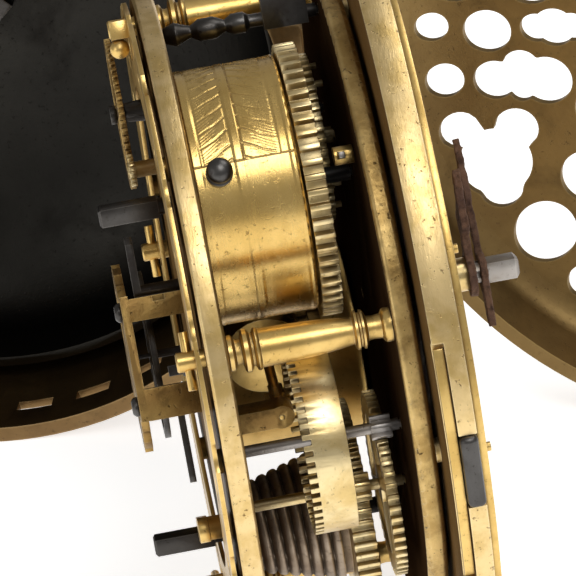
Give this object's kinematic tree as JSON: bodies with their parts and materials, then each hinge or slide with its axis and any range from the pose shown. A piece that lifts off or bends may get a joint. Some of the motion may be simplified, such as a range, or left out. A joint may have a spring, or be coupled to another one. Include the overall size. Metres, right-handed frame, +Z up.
{
  "type": "coach clock",
  "caption": "Coach clock standing open: striking verge movement on a hinge between a bowl case with its bell and a pierced domed cover.",
  "frame": {"origin": "middle of the open clock's footprint, on the surface it stands on", "axes": "+Z up along the hinge pin, +X from the case bowl to the cover, +Y away from the movement's near edge"},
  "size_m": [0.2143, 0.1767, 0.1296],
  "materials": {
    "gilt_brass": "fire gilding worn to warm brass, brown in the corners",
    "case_brass": "brass, dark with tarnish inside",
    "cover_brass": "dull olive-brown brass",
    "bell_metal": "nearly black bell metal",
    "dark_steel": "grey-black steel",
    "bright_steel": "light grey steel",
    "rusty_iron": "rusty brown iron"
  },
  "bodies": {
    "case": {"case_bowl": "case_brass", "hinge_pin": "dark_steel", "bell": "bell_metal", "bell_stud": "dark_steel", "bell_nut": "dark_steel", "pendant": "gilt_brass"},
    "bow": {"bow": "gilt_brass"},
    "cover": {"cover": "cover_brass"},
    "latch": {"latch_bolt": "gilt_brass"},
    "movement": {"strike_barrel": "gilt_brass", "barrel_screw": "dark_steel", "pillar_plate": "gilt_brass", "back_plate": "gilt_brass", "pillars": "gilt_brass", "taper_pins": "dark_steel", "overlay_sheet": "gilt_brass", "dial_ring": "gilt_brass", "latch_spring": "gilt_brass", "dial": "gilt_brass", "count_stud": "dark_steel", "potence": "gilt_brass", "counter_potence": "gilt_brass", "balance_cock": "gilt_brass", "cock_screws": "dark_steel", "index": "dark_steel", "detent": "dark_steel", "knob_bracket": "gilt_brass", "square_cock": "gilt_brass", "plate_stud": "gilt_brass", "stud_wedge": "dark_steel", "minute_stud": "dark_steel", "going_arbor": "dark_steel"},
    "strike_drive": {"strike_great_wheel": "gilt_brass", "strike_arbor": "dark_steel"},
    "pin_wheel": {"pin_wheel": "gilt_brass"},
    "fly": {"fly": "dark_steel"},
    "count_wheel": {"count_wheel": "gilt_brass"},
    "fusee_drive": {"fusee": "gilt_brass", "fusee_great_wheel": "gilt_brass", "fusee_arbor": "dark_steel"},
    "going_barrel": {"going_barrel": "gilt_brass"},
    "second": {"second_wheel": "gilt_brass"},
    "contrate": {"contrate_wheel": "gilt_brass", "contrate_arbor": "dark_steel"},
    "crown": {"crown_wheel": "gilt_brass"},
    "balance": {"balance": "dark_steel"},
    "hammer": {"hammer": "dark_steel"},
    "setting": {"setting_arbor": "bright_steel", "minute_hand": "rusty_iron"},
    "minute_wheel": {"minute_wheel": "gilt_brass"},
    "hour": {"hour_wheel": "gilt_brass", "centre_disc": "bright_steel", "hour_hand": "rusty_iron"}
  },
  "joints": [
    {"name": "movement_hinge", "type": "hinge", "parent": "case", "child": "movement", "pos_m": [0.0031, 0.0262, 0.055], "axis": [0, 0, 1], "range_deg": [-103, 0]},
    {"name": "cover_hinge", "type": "hinge", "parent": "movement", "child": "cover", "pos_m": [0.0031, 0.0262, 0.055], "axis": [0, 0, 1], "range_deg": [-62, 15]},
    {"name": "bow_swing", "type": "hinge", "parent": "case", "child": "bow", "pos_m": [-0.05071, 0.05094, 0.1148], "axis": [0.9744, -0.225, 0], "range_deg": [-80, 80]},
    {"name": "latch_slide", "type": "slide", "parent": "movement", "child": "latch", "axis": [0, 0.9981, -0.061], "range_m": [0, 0.0015], "stiffness_N_per_m": 900},
    {"name": "contrate_turn", "type": "hinge", "parent": "movement", "child": "contrate", "pos_m": [-0.0107, -0.06295, 0.05275], "axis": [1, 0, 0], "continuous": true},
    {"name": "second_turn", "type": "hinge", "parent": "movement", "child": "second", "pos_m": [-0.0107, -0.05717, 0.04063], "axis": [1, 0, 0], "continuous": true},
    {"name": "fusee_turn", "type": "hinge", "parent": "movement", "child": "fusee_drive", "pos_m": [-0.0107, -0.04496, 0.0297], "axis": [1, 0, 0], "continuous": true},
    {"name": "going_barrel_turn", "type": "hinge", "parent": "movement", "child": "going_barrel", "pos_m": [-0.0107, -0.01213, 0.03698], "axis": [1, 0, 0], "continuous": true},
    {"name": "crown_turn", "type": "hinge", "parent": "movement", "child": "crown", "pos_m": [-0.0149, -0.03458, 0.05313], "axis": [0, -0.9999, -0.0135], "continuous": true},
    {"name": "balance_swing", "type": "hinge", "parent": "movement", "child": "balance", "pos_m": [-0.0107, -0.03458, 0.05313], "axis": [1, 0, 0], "range_deg": [-55, 55]},
    {"name": "pin_wheel_turn", "type": "hinge", "parent": "movement", "child": "pin_wheel", "pos_m": [-0.0107, -0.02359, 0.07544], "axis": [1, 0, 0], "continuous": true},
    {"name": "strike_turn", "type": "hinge", "parent": "movement", "child": "strike_drive", "pos_m": [-0.0107, -0.04307, 0.07976], "axis": [1, 0, 0], "continuous": true},
    {"name": "fly_turn", "type": "hinge", "parent": "movement", "child": "fly", "pos_m": [-0.0107, -0.01134, 0.07339], "axis": [1, 0, 0], "continuous": true},
    {"name": "count_turn", "type": "hinge", "parent": "movement", "child": "count_wheel", "pos_m": [-0.0107, -0.01164, 0.07809], "axis": [1, 0, 0], "continuous": true},
    {"name": "hammer_swing", "type": "hinge", "parent": "movement", "child": "hammer", "pos_m": [-0.0107, -0.02614, 0.09546], "axis": [1, 0, 0], "range_deg": [-25, 25]},
    {"name": "setting_turn", "type": "hinge", "parent": "movement", "child": "setting", "pos_m": [-0.0107, -0.0318, 0.055], "axis": [1, 0, 0], "continuous": true},
    {"name": "minute_wheel_turn", "type": "hinge", "parent": "movement", "child": "minute_wheel", "pos_m": [-0.0107, -0.0317, 0.044], "axis": [1, 0, 0], "continuous": true},
    {"name": "hour_turn", "type": "hinge", "parent": "movement", "child": "hour", "pos_m": [-0.0107, -0.0318, 0.055], "axis": [1, 0, 0], "continuous": true}
  ],
  "couplings": [
    {"joint": "second_turn", "follows": "contrate_turn", "ratio": -0.11765},
    {"joint": "fusee_turn", "follows": "contrate_turn", "ratio": 0.013283},
    {"joint": "going_barrel_turn", "follows": "contrate_turn", "ratio": 0.0074478},
    {"joint": "crown_turn", "follows": "contrate_turn", "ratio": 8.8333},
    {"joint": "strike_turn", "follows": "pin_wheel_turn", "ratio": -0.14035},
    {"joint": "fly_turn", "follows": "pin_wheel_turn", "ratio": -8},
    {"joint": "count_turn", "follows": "pin_wheel_turn", "ratio": -0.2},
    {"joint": "minute_wheel_turn", "follows": "setting_turn", "ratio": -0.33333},
    {"joint": "hour_turn", "follows": "setting_turn", "ratio": 0.083333}
  ]
}
